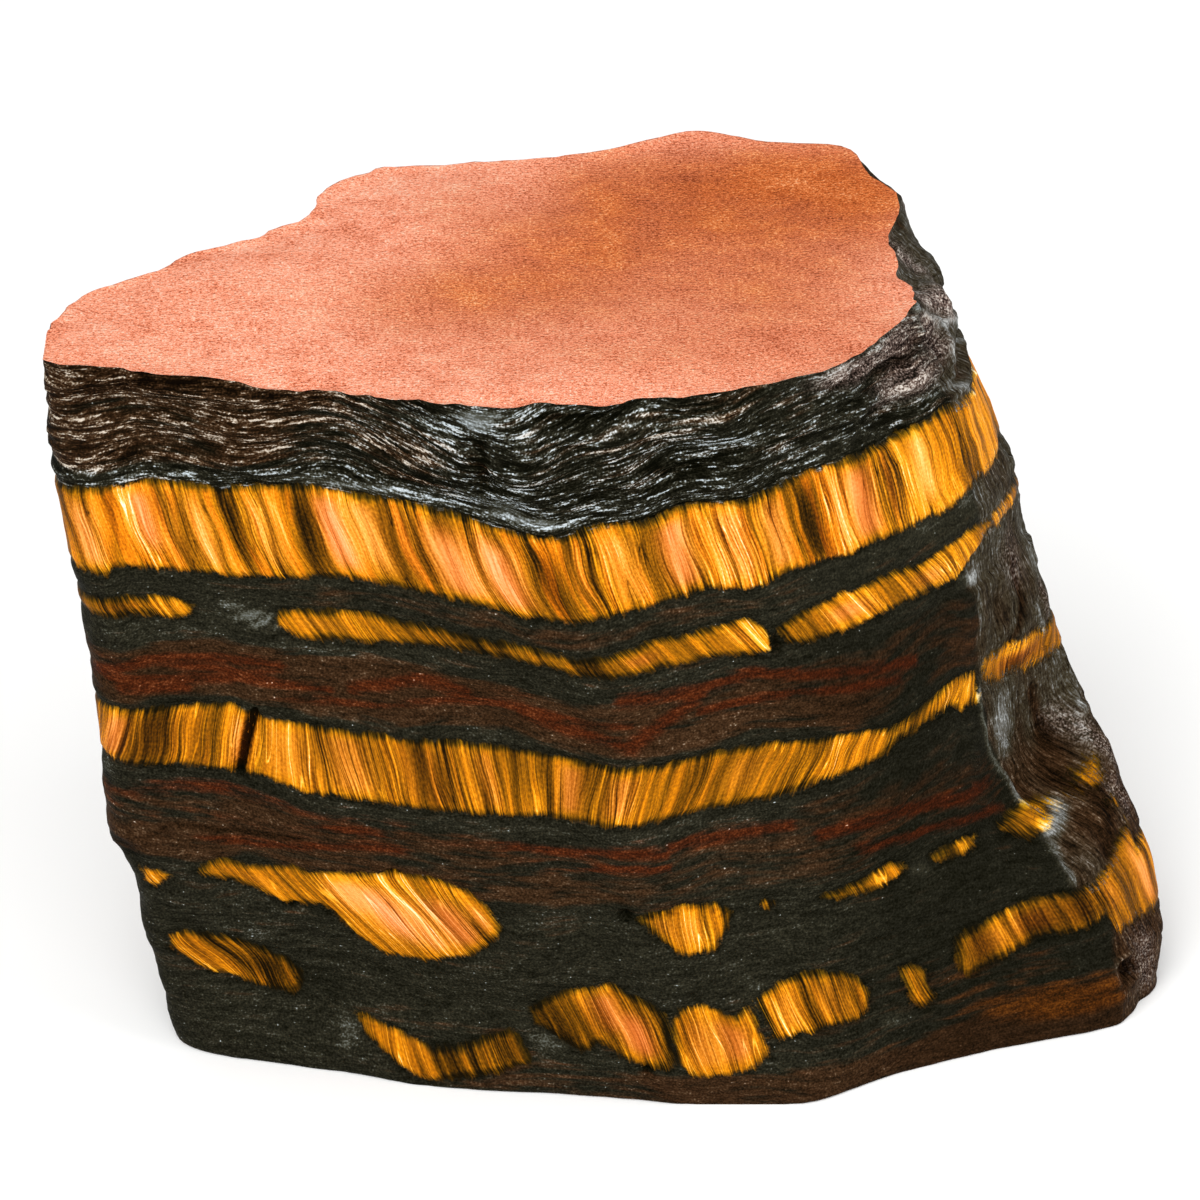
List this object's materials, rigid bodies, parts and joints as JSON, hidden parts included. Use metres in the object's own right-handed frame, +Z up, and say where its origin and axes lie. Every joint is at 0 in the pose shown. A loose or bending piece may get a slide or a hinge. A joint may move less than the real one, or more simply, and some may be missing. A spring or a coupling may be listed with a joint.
{
  "type": "rough tiger iron",
  "caption": "Rough block of tiger iron: layered dark ironstone with golden tiger's-eye seams and red jasper streaks, resting on its flat base bedding plane.",
  "frame": {"origin": "middle of the block's bounding box, at the height of the flat base it rests on", "axes": "+X along the block's length towards the flared right end, +Y towards its back, +Z up across the bedding; the two front faces meet in a blunt edge that faces -Y"},
  "size_m": [0.0788, 0.0446, 0.0556],
  "materials": {
    "tiger_iron": "rough, broken, with silky golden seams"
  },
  "bodies": {
    "root": {"tiger_iron": "tiger_iron"}
  },
  "joints": []
}
